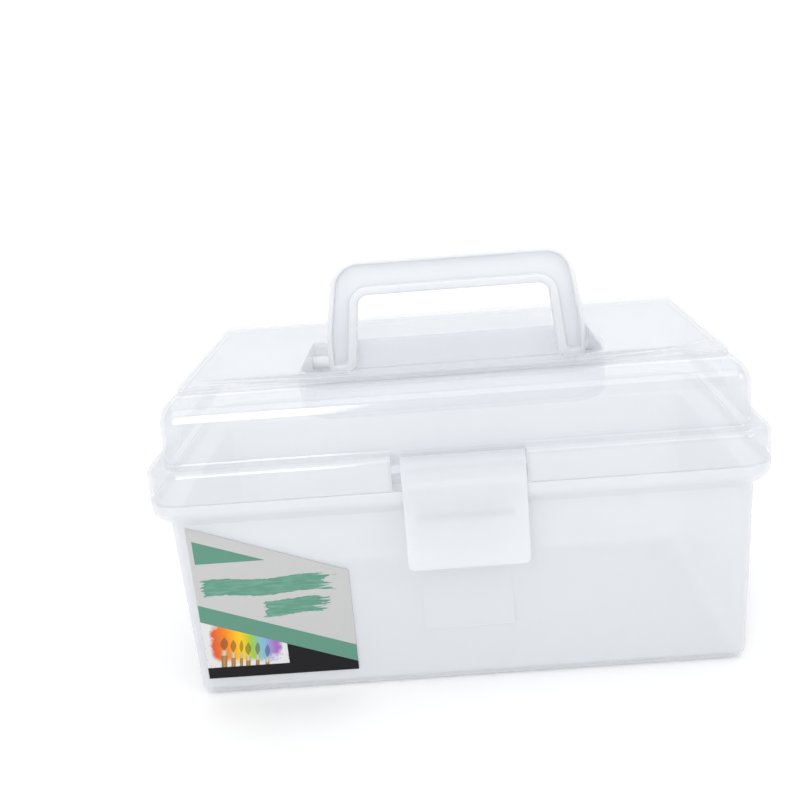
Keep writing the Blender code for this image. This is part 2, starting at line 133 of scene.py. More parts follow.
def make_object(name, bm):
    bmesh.ops.recalc_face_normals(bm, faces=bm.faces)
    mesh = bpy.data.meshes.new(name)
    bm.to_mesh(mesh)
    bm.free()
    obj = bpy.data.objects.new(name, mesh)
    bpy.context.scene.collection.objects.link(obj)
    return obj


def loft(name, loops):
    """A closed solid through loops with equally many points, capped at both ends."""
    bm = bmesh.new()
    rings = [[bm.verts.new(point) for point in loop] for loop in loops]
    count = len(rings[0])
    for lower, upper in zip(rings, rings[1:]):
        for i in range(count):
            j = (i + 1) % count
            bm.faces.new((lower[i], lower[j], upper[j], upper[i]))
    bm.faces.new(rings[0])
    bm.faces.new(rings[-1])
    return make_object(name, bm)


def prism_x(name, outline, x_from, x_to):
    """Extrude an outline of (y, z) points along X."""
    return loft(name, [[Vector((x, y, z)) for y, z in outline] for x in (x_from, x_to)])


def prism_y(name, outline, y_from, y_to):
    """Extrude an outline of (x, z) points along Y."""
    return loft(name, [[Vector((x, y, z)) for x, z in outline] for y in (y_from, y_to)])


def arc(centre, radius, start_deg, end_deg, steps):
    angles = [radians(start_deg + (end_deg - start_deg) * i / steps) for i in range(steps + 1)]
    return [(centre[0] + radius * cos(a), centre[1] + radius * sin(a)) for a in angles]


def rod_x(name, radius, x_from, x_to, y, z, chamfer=0.0):
    """A round rod along X. A chamfer breaks its two end edges."""
    ends = [(x_from, radius), (x_to, radius)]
    if chamfer:
        ends = [(x_from, radius - chamfer), (x_from + chamfer, radius)]
        ends += [(x_to - chamfer, radius), (x_to, radius - chamfer)]
    loops = []
    for x, r in ends:
        loops.append([Vector((x, a, b)) for a, b in arc((y, z), r, 0, 360, ROUND_SIDES)[:-1]])
    return loft(name, loops)


def block(name, low, high):
    outline = [(low[1], low[2]), (high[1], low[2]), (high[1], high[2]), (low[1], high[2])]
    return prism_x(name, outline, low[0], high[0])


def combine(target, tool, operation):
    modifier = target.modifiers.new(operation.lower() + "_" + tool.name, "BOOLEAN")
    modifier.operation = operation
    modifier.object = tool
    modifier.solver = "EXACT"


def round_edges(obj, width):
    bevel = obj.modifiers.new("soft_edges", "BEVEL")
    bevel.width = width
    bevel.segments = 3
    bevel.limit_method = "ANGLE"
    bevel.angle_limit = BEVEL_ANGLE


def settle(obj):
    """Apply an object's modifiers, remove the tools that they used, and shade the result."""
    bpy.context.view_layer.update()
    depsgraph = bpy.context.evaluated_depsgraph_get()
    mesh = bpy.data.meshes.new_from_object(obj.evaluated_get(depsgraph))
    tools = [m.object for m in obj.modifiers if m.type == "BOOLEAN"]
    obj.modifiers.clear()
    obj.data = mesh
    for tool in tools:
        bpy.data.objects.remove(tool)
    mesh.shade_smooth()
    mesh.set_sharp_from_angle(angle=SHARP_ANGLE)
    weighted = obj.modifiers.new("flat_faces_first", "WEIGHTED_NORMAL")
    weighted.keep_sharp = True
    return obj


# ---------------------------------------------------------------- outlines


def rounded_rectangle(half_x, front_y, back_y, front_radius, back_radius, z):
    """Counter-clockwise seen from above, from the back right corner."""
    points = []
    corners = (
        (half_x - back_radius, back_y - back_radius, back_radius),
        (-half_x + back_radius, back_y - back_radius, back_radius),
        (-half_x + front_radius, front_y + front_radius, front_radius),
        (half_x - front_radius, front_y + front_radius, front_radius),
    )
    for quarter, (x, y, radius) in enumerate(corners):
        for px, py in arc((x, y), radius, 90 * quarter, 90 * quarter + 90, CORNER_STEPS):
            points.append(Vector((px, py, z)))
    return points


def rim_loop(inset, z):
    """The box's plan outline, inset from the rim. The shoulder draws in a little more in Y."""
    climb = min(max((z - DOME_TOP_Z) / SHOULDER_RADIUS, 0), sin(SHOULDER_TURN))
    drawn_in = (1 - cos(asin(climb))) / (1 - cos(SHOULDER_TURN))
    half_y = HALF_Y - inset - PLATE_EXTRA_Y * drawn_in
    radius = max(RIM_CORNER - inset, SMALLEST_CORNER)
    return rounded_rectangle(HALF_X - inset, -half_y, half_y, radius, radius, z)


def pocket_loop(grow, z):
    """The handle pocket's plan outline, grown outwards."""
    return rounded_rectangle(
        POCKET_HALF_X + grow,
        POCKET_FRONT_Y - grow,
        POCKET_BACK_Y + grow,
        max(POCKET_FRONT_CORNER + grow, SMALLEST_CORNER),
        max(POCKET_BACK_CORNER + grow, SMALLEST_CORNER / 2),
        z,
    )


def rounded_path(corners):
    """A path through (a, b, radius) corners, each rounded with its radius. The ends stay sharp."""
    points = [Vector(corner[:2]) for corner in corners]
    turns = [0.0] * len(corners)
    reaches = [0.0] * len(corners)
    for i in range(1, len(corners) - 1):
        turns[i] = pi - (points[i - 1] - points[i]).angle(points[i + 1] - points[i])
        reaches[i] = corners[i][2] * tan(turns[i] / 2)
    for i in range(len(corners) - 1):
        room = 0.98 * (points[i + 1] - points[i]).length
        if reaches[i] + reaches[i + 1] > room:
            shrink = room / (reaches[i] + reaches[i + 1])
            reaches[i] *= shrink
            reaches[i + 1] *= shrink
    path = [tuple(points[0])]
    for i in range(1, len(corners) - 1):
        to_before = (points[i - 1] - points[i]).normalized()
        to_after = (points[i + 1] - points[i]).normalized()
        radius = reaches[i] / tan(turns[i] / 2)
        centre = points[i] + (to_before + to_after).normalized() * radius / cos(turns[i] / 2)
        start = points[i] + to_before * reaches[i] - centre
        sweep = -start.angle_signed(points[i] + to_after * reaches[i] - centre)
        steps = max(ceil(turns[i] / radians(ARC_DEGREES)), 1)
        for k in range(steps + 1):
            path.append(tuple(centre + Matrix.Rotation(sweep * k / steps, 2) @ start))
    return path + [tuple(points[-1])]


def wall_corners(outside, wall):
    """The outside's (inset, z, radius) corners, lowest first, moved in by the wall's thickness."""
    ways = [Vector((b[0] - a[0], b[1] - a[1])).normalized() for a, b in zip(outside, outside[1:])]
    ways = [ways[0], *ways, ways[-1]]
    inside = []
    for i, (inset, z, radius) in enumerate(outside):
        way_in, way_out = ways[i], ways[i + 1]
        across = Vector((way_in.y + way_out.y, -way_in.x - way_out.x))
        step = across * 2 * wall / across.length_squared
        bend = way_in.x * way_out.y - way_in.y * way_out.x
        inner_radius = max(radius + (wall if bend > 0 else -wall), 2 * SLIVER)
        inside.append((inset + step.x, z + step.y, inner_radius))
    return inside


# ---------------------------------------------------------------- tub

FOOT_RADIUS = 0.0055
NECK_RADIUS = 0.0012
RIM_TOP_INSET = 0.0001
RIM_RADIUS = 0.0050
RIM_BEND_Z = 0.0884
RIM_TURN_DEG = 51
RIM_STRAIGHT_Z = 0.0908
LIP_RADIUS = 0.00035
TUB_CORNERS = [
    (CAP_INSET, 0.0, 0.0),
    (FOOT_INSET, 0.0, FOOT_RADIUS),
    (NECK_INSET, NECK_Z, NECK_RADIUS),
    (RIM_TOP_INSET, RIM_BEND_Z, RIM_RADIUS),
    (RIM_TOP_INSET, SEAM_Z - GAP, LIP_RADIUS),
]


def wall_y(z):
    """Where the front wall's outside is."""
    return -(HALF_Y - FOOT_INSET - (NECK_INSET - FOOT_INSET) * z / NECK_Z)


def build_tub():
    inside = wall_corners(TUB_CORNERS, TUB_WALL)
    lip = (inside[-1][0], inside[-1][1], LIP_RADIUS)
    path = rounded_path(TUB_CORNERS + [lip] + inside[-2::-1])
    tub = loft("tub", [rim_loop(*point) for point in path])
    add_catch(tub)
    add_wedge(tub)
    for side in (-1, 1):
        add_tub_knuckles(tub, side * HINGE_X)
    return settle(tub)


CATCH_Y = -0.0776
CATCH_FOOT_Z = 0.0836
CATCH_EDGE = 0.0003
CATCH_HALF_X = 0.0180


def add_catch(tub):
    """The ledge under the rim that the latch's hook snaps below."""
    centre = (RIM_TOP_INSET + RIM_RADIUS, RIM_STRAIGHT_Z)
    rim = arc(centre, RIM_RADIUS, 180 + RIM_TURN_DEG, 180, 8)
    outline = [(inset + TUB_WALL / 2 - HALF_Y, z) for inset, z in rim]
    outline += [(CATCH_Y, RIM_STRAIGHT_Z), (CATCH_Y, CATCH_FOOT_Z + CATCH_EDGE)]
    outline.append((CATCH_Y + CATCH_EDGE, CATCH_FOOT_Z))
    combine(tub, prism_x("catch", outline, -CATCH_HALF_X, CATCH_HALF_X), "UNION")


WEDGE_FOOT_Z = 0.0270
WEDGE_TOP_Z = 0.0560
WEDGE_HALF_X = (0.0200, 0.0190)
WEDGE_PROUD = 0.0016
WEDGE_EDGE = 0.0005
WEDGE_ROOT = 0.0009
WEDGE_LAYERS = (
    (WEDGE_ROOT, 0.0),
    (WEDGE_EDGE - WEDGE_PROUD, 0.0),
    (-WEDGE_PROUD, WEDGE_EDGE),
)


def add_wedge(tub):
    """A low wedge on the front wall: flush at its top, proud and softly rounded at its foot."""
    loops = []
    for sink, shrink in WEDGE_LAYERS:
        foot_x, top_x = (half_x - shrink for half_x in WEDGE_HALF_X)
        foot_y = wall_y(WEDGE_FOOT_Z) + sink
        top_y = wall_y(WEDGE_TOP_Z) + max(sink, 0)
        foot_z = WEDGE_FOOT_Z + shrink
        top_z = WEDGE_TOP_Z - shrink
        loop = [(-foot_x, foot_y, foot_z), (foot_x, foot_y, foot_z)]
        loop += [(top_x, top_y, top_z), (-top_x, top_y, top_z)]
        loops.append([Vector(point) for point in loop])
    combine(tub, loft("wedge", loops), "UNION")


def add_tub_knuckles(tub, x):
    """Two barrels on gussets, with the rim cut back for the lid's barrel between them."""
    root_y = HALF_Y - TUB_WALL + 2 * SLIVER
    outline = [(max(y, root_y), z) for y, z in arc(HINGE.yz, KNUCKLE_RADIUS, -40, 140, 20)]
    outline.append((root_y, TUB_GUSSET_Z))
    for side in (-1, 1):
        edges = sorted(x + side * edge for edge in TUB_KNUCKLE_X)
        combine(tub, prism_x("tub_knuckle", outline, *edges), "UNION")
    reach = LID_KNUCKLE_HALF_X + KNUCKLE_CLEARANCE
    combine(tub, knuckle_relief(x - reach, x + reach), "DIFFERENCE")
    combine(tub, pin_bore(x), "DIFFERENCE")


def knuckle_relief(x_from, x_to):
    """Room for the other piece's barrel."""
    return rod_x("relief", KNUCKLE_RADIUS + KNUCKLE_CLEARANCE, x_from, x_to, *HINGE.yz)


def pin_bore(x):
    reach = TUB_KNUCKLE_X[1] + 2 * GAP
    return rod_x("bore", PIN_RADIUS + 2 * GAP, x - reach, x + reach, *HINGE.yz)


# ---------------------------------------------------------------- lid

BEAD_DRAFT = 0.0003
BEAD_ROOT_RADIUS = 0.0009
PLATE_EDGE_RADIUS = 0.0004
SHOULDER_TANGENT = SHOULDER_RADIUS * tan(SHOULDER_TURN / 2)
SHOULDER_FIT = 0.97
LID_CORNERS = [
    (0.0, SEAM_Z + GAP, LIP_RADIUS),
    (BEAD_DRAFT, BEAD_TOP_Z, BEAD_RADIUS),
    (DOME_FOOT_INSET, BEAD_TOP_Z, BEAD_ROOT_RADIUS),
    (DOME_TOP_INSET, DOME_TOP_Z + SHOULDER_TANGENT, SHOULDER_FIT * SHOULDER_RADIUS),
    (PLATE_INSET, PLATE_FOOT_Z, PLATE_EDGE_RADIUS),
    (PLATE_INSET, TOP_Z, PLATE_EDGE_RADIUS),
    (CAP_INSET, TOP_Z, 0.0),
]

# The pocket's wall. A growth is measured outwards from the pocket's outline.
POCKET_CAP_GROWTH = -0.0120
POCKET_RIM_GROWTH = 0.0040
POCKET_UNDER_RIM_GROWTH = 0.0060
POCKET_FILLET = 0.0030
POCKET_TOP_RADIUS = 0.0005
POCKET_UNDER_RADIUS = 0.0010


def build_lid():
    """One shell: pocket floor, pocket wall, top plate, dome, bead, seam, and back inside."""
    inside = wall_corners(LID_CORNERS, LID_WALL)
    seam_inside = (inside[0][0], inside[0][1], LIP_RADIUS)
    rim_path = rounded_path(LID_CORNERS[::-1] + [seam_inside] + inside[1:])
    top_pocket = [
        (POCKET_CAP_GROWTH, POCKET_FLOOR_Z, 0.0),
        (-POCKET_DRAFT, POCKET_FLOOR_Z, POCKET_FILLET),
        (0.0, TOP_Z, POCKET_TOP_RADIUS),
        (POCKET_RIM_GROWTH, TOP_Z, 0.0),
    ]
    under_z = POCKET_FLOOR_Z - LID_WALL
    under_pocket = [
        (POCKET_UNDER_RIM_GROWTH, TOP_Z - LID_WALL, 0.0),
        (LID_WALL, TOP_Z - LID_WALL, POCKET_UNDER_RADIUS),
        (-POCKET_DRAFT + LID_WALL, under_z, POCKET_FILLET + LID_WALL),
        (POCKET_CAP_GROWTH, under_z, 0.0),
    ]
    loops = [pocket_loop(*point) for point in rounded_path(top_pocket)]
    loops += [rim_loop(*point) for point in rim_path]
    loops += [pocket_loop(*point) for point in rounded_path(under_pocket)]
    lid = loft("clear_lid", loops)
    for side in (-1, 1):
        ends = sorted(side * (POCKET_HALF_X + reach) for reach in (-3 * LID_WALL, 3 * LID_WALL))
        combine(lid, rod_x("pivot_hole", PIVOT_RADIUS + 2 * GAP, *ends, *PIVOT.yz), "DIFFERENCE")
    add_latch_notch(lid)
    for side in (-1, 1):
        add_lid_knuckle(lid, side * HINGE_X)
    return settle(lid)


def add_latch_notch(lid):
    """A gap in the bead, closed by a cheek at each end and a web behind, with the latch's bar."""
    dome_y = -(HALF_Y - DOME_FOOT_INSET)
    cut_low = (-NOTCH_HALF_X, -HALF_Y - BEAD_RADIUS, SEAM_Z - BEAD_RADIUS)
    cut_high = (NOTCH_HALF_X, dome_y - SLIVER, BEAD_TOP_Z + LID_WALL)
    combine(lid, block("notch", cut_low, cut_high), "DIFFERENCE")

    skin = LID_WALL / 3
    bead_centre = (-HALF_Y + BEAD_RADIUS, BEAD_TOP_Z - BEAD_RADIUS)
    low_z = SEAM_Z + 3 * GAP
    cheek = arc(bead_centre, BEAD_RADIUS - skin, 90, 180, 10)
    cheek += [(-HALF_Y + skin, low_z), (dome_y + skin, low_z), (dome_y + skin, BEAD_TOP_Z - skin)]
    for side in (-1, 1):
        faces = sorted((side * NOTCH_HALF_X, side * (NOTCH_HALF_X + CHEEK_THICKNESS)))
        combine(lid, prism_x("cheek", cheek, *faces), "UNION")
    web_half_x = NOTCH_HALF_X + CHEEK_THICKNESS / 2
    web_low = (-web_half_x, dome_y + SLIVER, low_z + SLIVER)
    web_high = (web_half_x, dome_y + LID_WALL - SLIVER, BEAD_TOP_Z + LID_WALL)
    combine(lid, block("web", web_low, web_high), "UNION")
    bar_half_x = NOTCH_HALF_X + CHEEK_THICKNESS / 3
    combine(lid, rod_x("bar", BAR_RADIUS, -bar_half_x, bar_half_x, *BAR.yz), "UNION")


def add_lid_knuckle(lid, x):
    """One barrel on a gusset, with the heel that stops the lid when it is fully open."""
    for side in (-1, 1):
        low = TUB_KNUCKLE_X[0] - KNUCKLE_CLEARANCE
        high = TUB_KNUCKLE_X[1] + KNUCKLE_CLEARANCE
        edges = sorted((x + side * low, x + side * high))
        combine(lid, knuckle_relief(*edges), "DIFFERENCE")
    root_y = HALF_Y - LID_WALL + 2 * SLIVER
    heel_radius = LID_HIGH.y - HINGE.y
    heel_from, heel_to = HEEL_DEG
    outline = arc(HINGE.yz, KNUCKLE_RADIUS, -140, heel_from, 16)
    outline += arc(HINGE.yz, heel_radius, heel_from, heel_to, 4)
    outline += arc(HINGE.yz, KNUCKLE_RADIUS, heel_to, 55, 4)
    outline = [(max(y, root_y), z) for y, z in outline] + [(root_y, LID_GUSSET_Z)]
    edges = (x - LID_KNUCKLE_HALF_X, x + LID_KNUCKLE_HALF_X)
    combine(lid, prism_x("lid_knuckle", outline, *edges), "UNION")
    combine(lid, pin_bore(x), "DIFFERENCE")


# ---------------------------------------------------------------- handle

# Pairs are for the bow's outer and inner edges.
ARM_END_DROP = 0.0044
ARM_END_RADIUS = ((0.0016, 0.0012), (0.0045, 0.0028))
ARM_FOOT = (0.0596, 0.0469)
ARM_LEAN = (0.157, 0.112)
ARM_BEND_Z = (0.1410, PIVOT.z)
ARM_BEND_DROP = 0.003
ARM_BEND_RADIUS = 0.06
BOW_RADIUS = (0.0135, 0.0055)
GRIP_HEIGHT = 0.0163
HANDLE_BACK_EDGE = 0.0010
HANDLE_FRONT_EDGE = 0.0007
CHANNEL_RIMS = (0.0022, 0.0038, 0.0030)
CHANNEL_DEPTH = 0.0030
CHANNEL_EDGE = 0.0004
CHANNEL_FILLET = 0.0009
HANDLE_PIN_REACH = 0.0084
HANDLE_PIN_ROOT = 0.0018
HANDLE_PIN_CHAMFER = 0.0003
HANDLE_SLIDE = (HANDLE_LOW.x + HANDLE_HIGH.x) / 2


def bow_edge(edge, rim, top_z):
    """Right half of the bow's outer (0) or inner (1) edge, from the arm to the centre line.

    The edge is moved into the section by a rim. It leans in and turns into the grip, and the
    outer one starts upright.
    """
    inward = -rim if edge == 0 else rim
    foot_x = ARM_FOOT[edge] + inward
    radius = BOW_RADIUS[edge] + inward
    tilt = atan2(ARM_LEAN[edge], 1)
    corner_z = top_z + inward - radius
    corner_x = foot_x - ARM_LEAN[edge] * (corner_z - ARM_BEND_Z[edge]) - radius / cos(tilt)
    points = arc((corner_x, corner_z), radius, degrees(tilt), 90, 16)
    if edge == 1:
        return points
    bend_centre = (foot_x - ARM_BEND_RADIUS, ARM_BEND_Z[0] - ARM_BEND_DROP)
    return arc(bend_centre, ARM_BEND_RADIUS, 0, degrees(tilt), 4) + points


def bow_loop(outer_rim, inner_rim, end_rim, y):
    """The handle's front outline at a depth, inset by a rim on each edge.

    The radii at the arm's end shrink with the inset, down to a least one.
    """
    foot_z = PIVOT.z - ARM_END_DROP + end_rim
    outer_radius, inner_radius = (max(full - end_rim, least) for full, least in ARM_END_RADIUS)
    inner_x = ARM_FOOT[1] + inner_rim + inner_radius
    outer_x = ARM_FOOT[0] - outer_rim - outer_radius
    right = bow_edge(1, inner_rim, HANDLE_HIGH.z - GRIP_HEIGHT)[::-1]
    right += arc((inner_x, foot_z + inner_radius), inner_radius, 180, 270, 8)
    right += arc((outer_x, foot_z + outer_radius), outer_radius, 270, 360, 5)
    right += bow_edge(0, outer_rim, HANDLE_HIGH.z)
    left = [(-x, z) for x, z in right[::-1]]
    return [Vector((x + HANDLE_SLIDE, y, z)) for x, z in right + left]


def quarter_turn(step_deg):
    """What the sine and the cosine lack of 1, from 0 to 90 degrees."""
    return [(1 - sin(radians(a)), 1 - cos(radians(a))) for a in range(0, 91, step_deg)]


def build_handle():
    """A bow of channel section: full height at the back, sunk between its rims at the front."""
    back_y = -HANDLE_LOW.y
    front_y = HANDLE_LOW.y
    floor_y = front_y + CHANNEL_DEPTH
    loops = []
    for closing, opening in quarter_turn(18):
        inset = HANDLE_BACK_EDGE * closing
        loops.append(bow_loop(inset, inset, inset, back_y - HANDLE_BACK_EDGE * opening))
    for closing, opening in quarter_turn(18):
        inset = HANDLE_FRONT_EDGE * opening
        loops.append(bow_loop(inset, inset, inset, front_y + HANDLE_FRONT_EDGE * closing))
    for closing, opening in quarter_turn(30):
        rims = [rim - CHANNEL_EDGE * closing for rim in CHANNEL_RIMS]
        loops.append(bow_loop(*rims, front_y + CHANNEL_EDGE * opening))
    for closing, opening in quarter_turn(22):
        rims = [rim + SLIVER + CHANNEL_FILLET * opening for rim in CHANNEL_RIMS]
        loops.append(bow_loop(*rims, floor_y - CHANNEL_FILLET * closing))
    handle = loft("handle_bow", loops)
    reaches = (ARM_FOOT[0] - HANDLE_PIN_ROOT, ARM_FOOT[0] + HANDLE_PIN_REACH)
    for side in (-1, 1):
        ends = sorted(side * reach + HANDLE_SLIDE for reach in reaches)
        pin = rod_x("pivot_pin", PIVOT_RADIUS, *ends, *PIVOT.yz, HANDLE_PIN_CHAMFER)
        combine(handle, pin, "UNION")
    return settle(handle)


# ---------------------------------------------------------------- latch, pins

LATCH_SLIDE = (LATCH_LOW.x + LATCH_HIGH.x) / 2
LATCH_EDGE = 0.0003
LIP_Z = 0.0750
HOOK_ROOT_Y = LATCH_BACK_Y - 0.0006
HOOK_TIP_Y = -0.0753
HOOK_TOP_Z = 0.0833
HOOK_TIP_Z = 0.0823
HOOK_FOOT_Z = 0.0803
HOOK_HALF_X = 0.0200

# (y, z) steps of the tongue's front above the lip, and round the lip's tip from its front
LIP_BEND = ((0.0, 0.003), (-0.0002, 0.0))
LIP_TIP = ((0.0, 0.0010), (0.0002, 0.0004), (0.0006, 0.0), (0.0013, 0.0), (0.0017, 0.0004))


def latch_front():
    """The latch's front view: a plain rectangle with its lower corners rounded."""
    half_x = (LATCH_HIGH.x - LATCH_LOW.x) / 2
    side = half_x - LATCH_CORNER
    low = LATCH_LOW.z - SLIVER + LATCH_CORNER
    top = LATCH_HIGH.z + LATCH_CORNER
    outline = [(half_x, top), (-half_x, top)]
    outline += arc((-side, low), LATCH_CORNER, 180, 270, 9)
    outline += arc((side, low), LATCH_CORNER, 270, 360, 9)
    return [(x + LATCH_SLIDE, z) for x, z in outline]


def build_latch():
    """A clip round the bar, a flat tongue in front of the rim, and a lip to pull at its tip."""
    centre = BAR.yz
    front_y = BAR.y - CLIP_OUTER_RADIUS
    outline = arc(centre, CLIP_OUTER_RADIUS, CLIP_MOUTH_DEG, 180, 32)
    outline.append((front_y, SEAM_Z))
    outline += [(front_y + y, LIP_Z + z) for y, z in LIP_BEND]
    outline += [(LATCH_LOW.y + y, LATCH_LOW.z + z) for y, z in LIP_TIP]
    outline += [(LATCH_BACK_Y, LIP_Z), (LATCH_BACK_Y, SEAM_Z)]
    outline += arc(centre, CLIP_INNER_RADIUS, 195, CLIP_MOUTH_DEG, 26)
    latch = prism_x("latch", outline, LATCH_LOW.x - LATCH_CORNER, LATCH_HIGH.x + LATCH_CORNER)
    combine(latch, prism_y("latch_front", latch_front(), -2 * HALF_Y, 0.0), "INTERSECT")
    round_edges(latch, LATCH_EDGE)
    hook = [(HOOK_ROOT_Y, HOOK_TOP_Z), (HOOK_TIP_Y, HOOK_TOP_Z)]
    hook += [(HOOK_TIP_Y, HOOK_TIP_Z), (HOOK_ROOT_Y, HOOK_FOOT_Z)]
    edges = (LATCH_SLIDE - HOOK_HALF_X, LATCH_SLIDE + HOOK_HALF_X)
    combine(latch, prism_x("hook", hook, *edges), "UNION")
    return settle(latch)


def build_pin(node):
    low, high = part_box(node)
    return settle(rod_x(node + "_rod", PIN_RADIUS, low.x, high.x, *HINGE.yz, PIN_CHAMFER))


# ---------------------------------------------------------------- materials


class Graph:
    """Short calls for building a material's node tree."""

    def __init__(self, name):
        self.material = bpy.data.materials.new(name)
        self.material.use_nodes = True
        self.tree = self.material.node_tree
        self.tree.nodes.clear()

    def add(self, kind, inputs=None, **settings):
        node = self.tree.nodes.new(kind)
        for name, value in settings.items():
            setattr(node, name, value)
        for name, value in (inputs or {}).items():
            self.set(node.inputs[name], value)
        return node

    def set(self, socket, value):
        if isinstance(value, bpy.types.NodeSocket):
            self.tree.links.new(value, socket)
        else:
            socket.default_value = value

    def math(self, operation, *values, clamp=False):
        node = self.add("ShaderNodeMath", operation=operation, use_clamp=clamp)
        for socket, value in zip(node.inputs, values):
            self.set(socket, value)
        return node.outputs[0]

    def over(self, first, second):
        """1 where the first value is greater than the second, else 0."""
        return self.math("GREATER_THAN", first, second)

    def both(self, *masks):
        """1 where every mask is 1."""
        found = masks[0]
        for mask in masks[1:]:
            found = self.math("MULTIPLY", found, mask)
        return found

    def gap(self, value, centre):
        """How far a value is from a centre."""
        return self.math("ABSOLUTE", self.math("SUBTRACT", value, centre))

    def mix(self, share, first, second):
        node = self.add("ShaderNodeMix", data_type="RGBA")
        self.set(node.inputs["Factor"], share)
        self.set(node.inputs[6], first)
        self.set(node.inputs[7], second)
        return node.outputs[2]

    def place(self):
        return self.add("ShaderNodeTexCoord").outputs["Object"]

    def noise(self, scale, detail, roughness=0.5, vector=None):
        inputs = {"Scale": scale, "Detail": detail, "Roughness": roughness}
        inputs["Vector"] = vector or self.place()
        return self.add("ShaderNodeTexNoise", inputs).outputs["Fac"]

    def spread(self, value, low, high, to_low, to_high):
        inputs = {"Value": value, "From Min": low, "From Max": high}
        inputs.update({"To Min": to_low, "To Max": to_high})
        return self.add("ShaderNodeMapRange", inputs).outputs[0]

    def bump(self, height, strength, distance):
        inputs = {"Height": height, "Strength": strength, "Distance": distance}
        return self.add("ShaderNodeBump", inputs).outputs[0]

    def finish(self, surface):
        output = self.add("ShaderNodeOutputMaterial")
        self.tree.links.new(surface, output.inputs["Surface"])
        return self.material


# The step round the lid's top plate, where shade is painted in: its middle, how far from it the
# painted shade is full and has faded, how far out the step is in X and Y, and the painted shade's
# tone
CREASE_Z = PLATE_FOOT_Z + 0.0003
CREASE_REACH = (0.0004, 0.0012)
CREASE_FROM = (0.1120, 0.0580)
CREASE_SHADE_TONE = (0.28, 0.29, 0.32, 1)


def plastic(name, tint, milk, edge_milk, roughness, ior, painted_crease_shade=False, inner_glow=0.0):
    """Thin moulded plastic: clear where it is seen square on, denser along its edges.

    milk is how much of the view one face hides, and edge_milk how much where the face is edge on.
    inner_glow is how much light spreads inside a thick piece.
    With its crease flag set, shade is painted into the step round the lid's top plate: a darker
    tone and a little more density.
    """
    g = Graph(name)
    flow = g.noise(7.0, 1.0)
    waves = g.noise(26.0, 0.0)
    scuffs = g.noise(40.0, 1.0)
    darker = [c * 0.985 for c in tint]
    colour = g.mix(g.spread(flow, 0.35, 0.65, 0, 1), (*darker, 1), (*tint, 1))
    edge = g.add("ShaderNodeLayerWeight", {"Blend": 0.5}).outputs["Facing"]
    steep = g.math("POWER", edge, 3.5)
    dense = g.math("MULTIPLY_ADD", steep, edge_milk - milk, milk)
    # Painted shade: a darker tone and more density along the step round the top plate
    if painted_crease_shade:
        place = g.add("ShaderNodeSeparateXYZ", {"Vector": g.place()})
        near = g.spread(g.gap(place.outputs["Z"], CREASE_Z), *CREASE_REACH, 1, 0)
        far_x = g.over(g.math("ABSOLUTE", place.outputs["X"]), CREASE_FROM[0])
        far_y = g.over(g.math("ABSOLUTE", place.outputs["Y"]), CREASE_FROM[1])
        crease_shade_mask = g.both(near, g.math("MAXIMUM", far_x, far_y))
        colour = g.mix(g.math("MULTIPLY", crease_shade_mask, 0.28), colour, CREASE_SHADE_TONE)
        dense = g.math("ADD", dense, g.math("MULTIPLY", crease_shade_mask, 0.10), clamp=True)
    rough = g.spread(scuffs, 0.3, 0.7, roughness * 0.95, roughness * 1.05)
    shader = g.add(
        "ShaderNodeBsdfPrincipled",
        {
            "Base Color": colour,
            "Roughness": rough,
            "IOR": ior,
            "Specular IOR Level": 0.8,
            "Normal": g.bump(waves, 0.04, 0.0004),
            "Subsurface Weight": inner_glow,
            "Subsurface Scale": 0.004,
            "Subsurface Radius": (1.0, 1.0, 1.0),
        },
    )
    clear = g.add("ShaderNodeBsdfTransparent", {"Color": (0.975, 0.980, 0.988, 1)})
    blend = g.add("ShaderNodeMixShader", {"Fac": dense})
    g.tree.links.new(clear.outputs[0], blend.inputs[1])
    g.tree.links.new(shader.outputs[0], blend.inputs[2])
    return g.finish(blend.outputs[0])


# The print, in millimetres from the label's lower left corner. A slanted edge is (height at the
# left end, slope), and a stroke is (left, right, low, high).
FLAG_LEFT = 1.8
FLAG_FOOT = 55.7
FLAG_TOP = (67.1, -0.361)
BAND_FOOT = (28.2, -0.366)
BAND_TOP = (36.4, -0.366)
PICTURE_RIGHT = 36.0
PICTURE_FOOT = 5.4
STROKES = ((3.2, 57.0, 39.8, 47.6), (29.0, 53.0, 29.2, 36.8))
PAPER = (0.50, 0.50, 0.495, 1)
PAPER_BLOTCH = (0.55, 0.55, 0.54, 1)
PAPER_BACK = (0.72, 0.72, 0.71, 1)
TEAL = (0.118, 0.272, 0.205, 1)
DRY_TEAL = (0.25, 0.50, 0.40, 1)
BLACK = (0.016, 0.016, 0.018, 1)


